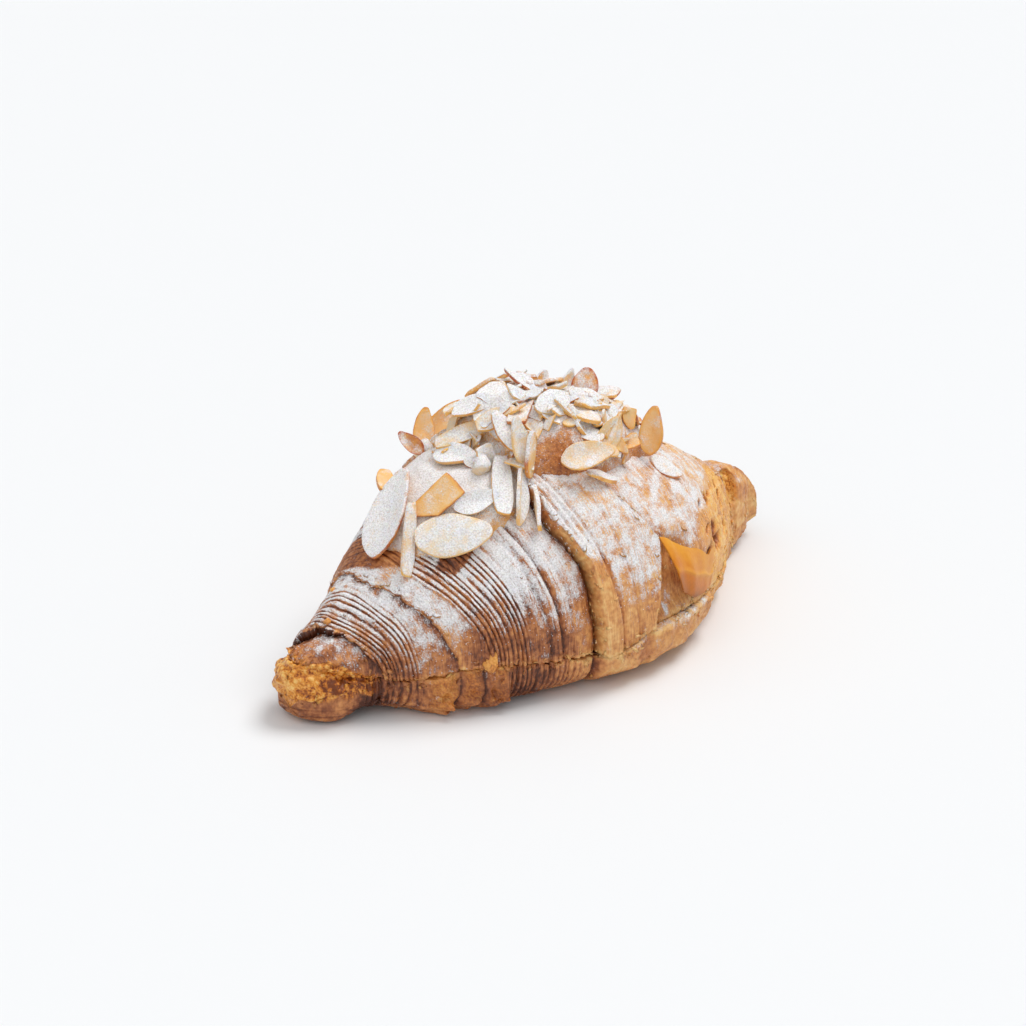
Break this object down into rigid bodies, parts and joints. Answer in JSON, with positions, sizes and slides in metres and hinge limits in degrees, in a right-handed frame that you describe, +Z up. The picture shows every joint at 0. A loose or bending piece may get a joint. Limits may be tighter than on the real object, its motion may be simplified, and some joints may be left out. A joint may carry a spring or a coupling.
{
  "type": "almond croissant",
  "caption": "Baked croissant sliced level and filled, with a mound of almond cream and flaked almonds on its crown.",
  "frame": {"origin": "middle of the footprint, on the surface the croissant rests on", "axes": "+X along the length towards the bare right tip, -Y towards the side seen in the picture, +Z up"},
  "size_m": [0.173, 0.09, 0.0773],
  "materials": {
    "foot_crust": "golden baked pastry, satin",
    "filling": "golden porous almond cream, matte",
    "lid_crust": "brown baked pastry dusted with fine sugar, satin",
    "topping": "pale flaked almonds and cream dusted with fine sugar, matte"
  },
  "bodies": {
    "root": {"croissant_foot": "foot_crust", "almond_filling": "filling", "croissant_lid": "lid_crust", "almond_topping": "topping"}
  },
  "joints": []
}
